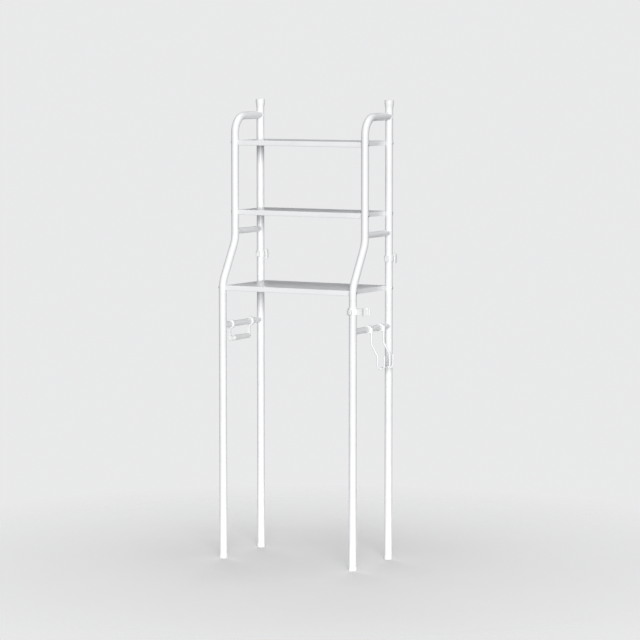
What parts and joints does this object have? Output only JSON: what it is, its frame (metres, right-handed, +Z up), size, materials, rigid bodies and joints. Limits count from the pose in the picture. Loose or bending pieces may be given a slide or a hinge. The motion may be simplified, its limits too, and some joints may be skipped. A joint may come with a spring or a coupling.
{
  "type": "over the toilet storage rack",
  "caption": "Free-standing tube rack that straddles a toilet, with sheet shelves above, kinked front legs, arched side tops, a roll holder, a slipper hanger, a mop clip and wall anchors.",
  "frame": {"origin": "the middle of the rack's bounding box, on the floor", "axes": "+X to the right of someone facing the rack, +Y back towards the wall, +Z up"},
  "size_m": [0.5624, 0.3004, 1.52],
  "materials": {
    "tube_coat": "smooth satin white powder coat on steel tube",
    "shelf_coat": "satin white powder coat on folded steel sheet",
    "wire_coat": "white coating on bent steel wire",
    "sleeve_steel": "bare drawn steel tube",
    "fastener_steel": "zinc plated",
    "cap_plastic": "moulded white plastic, fine grain",
    "clip_plastic": "moulded white plastic, soft gloss",
    "wall_pad_foam": "matt foam pad"
  },
  "bodies": {
    "rack": {"left_front_leg": "tube_coat", "left_front_upper_tube": "tube_coat", "left_rear_post_lower": "tube_coat", "left_rear_post_upper": "tube_coat", "left_upper_brace": "tube_coat", "left_side_rail": "tube_coat", "left_front_sleeve": "sleeve_steel", "left_rear_sleeve": "sleeve_steel", "left_front_foot": "cap_plastic", "left_rear_foot": "cap_plastic", "left_top_cap": "cap_plastic", "right_front_leg": "tube_coat", "right_front_upper_tube": "tube_coat", "right_rear_post_lower": "tube_coat", "right_rear_post_upper": "tube_coat", "right_upper_brace": "tube_coat", "right_side_rail": "tube_coat", "right_front_sleeve": "sleeve_steel", "right_rear_sleeve": "sleeve_steel", "right_front_foot": "cap_plastic", "right_rear_foot": "cap_plastic", "right_top_cap": "cap_plastic", "top_shelf": "shelf_coat", "top_shelf_bolt_left_front": "fastener_steel", "top_shelf_bolt_left_rear": "fastener_steel", "top_shelf_bolt_right_front": "fastener_steel", "top_shelf_bolt_right_rear": "fastener_steel", "middle_shelf": "shelf_coat", "middle_shelf_bolt_left_front": "fastener_steel", "middle_shelf_bolt_left_rear": "fastener_steel", "middle_shelf_bolt_right_front": "fastener_steel", "middle_shelf_bolt_right_rear": "fastener_steel", "lower_shelf": "shelf_coat", "lower_shelf_bolt_left_front": "fastener_steel", "lower_shelf_bolt_left_rear": "fastener_steel", "lower_shelf_bolt_right_front": "fastener_steel", "lower_shelf_bolt_right_rear": "fastener_steel", "left_wall_collar": "clip_plastic", "left_wall_block": "clip_plastic", "left_wall_pad": "wall_pad_foam", "right_wall_collar": "clip_plastic", "right_wall_block": "clip_plastic", "right_wall_pad": "wall_pad_foam"},
    "roll_holder": {"paper_clip_front": "clip_plastic"},
    "rear_arm": {"paper_clip_rear": "clip_plastic"},
    "roller": {"paper_roller": "clip_plastic"},
    "slipper_hanger": {"slipper_clip_front": "clip_plastic", "slipper_clip_rear": "clip_plastic", "slipper_wire": "wire_coat"},
    "mop_clip": {"mop_clip_jaw": "clip_plastic", "mop_clip_back": "clip_plastic", "mop_clip_screw_front": "fastener_steel", "mop_clip_screw_rear": "fastener_steel"}
  },
  "joints": [
    {"name": "roll_holder_swing", "type": "hinge", "parent": "rack", "child": "roll_holder", "pos_m": [-0.26568, -0.07365, 0.778], "axis": [0, 1, 0], "range_deg": [-90, 90]},
    {"name": "rear_arm_slide", "type": "slide", "parent": "roll_holder", "child": "rear_arm", "axis": [0, 1, 0], "range_m": [0, 0.02]},
    {"name": "roller_spin", "type": "hinge", "parent": "roll_holder", "child": "roller", "pos_m": [-0.27168, -0.01115, 0.729], "axis": [0, 1, 0], "continuous": true},
    {"name": "slipper_hanger_swing", "type": "hinge", "parent": "rack", "child": "slipper_hanger", "pos_m": [0.22432, 0.01735, 0.778], "axis": [0, 1, 0], "range_deg": [-90, 75]},
    {"name": "mop_clip_swivel", "type": "hinge", "parent": "rack", "child": "mop_clip", "pos_m": [0.22432, -0.12715, 0.844], "axis": [0, 0, 1], "range_deg": [-110, 110]}
  ]
}
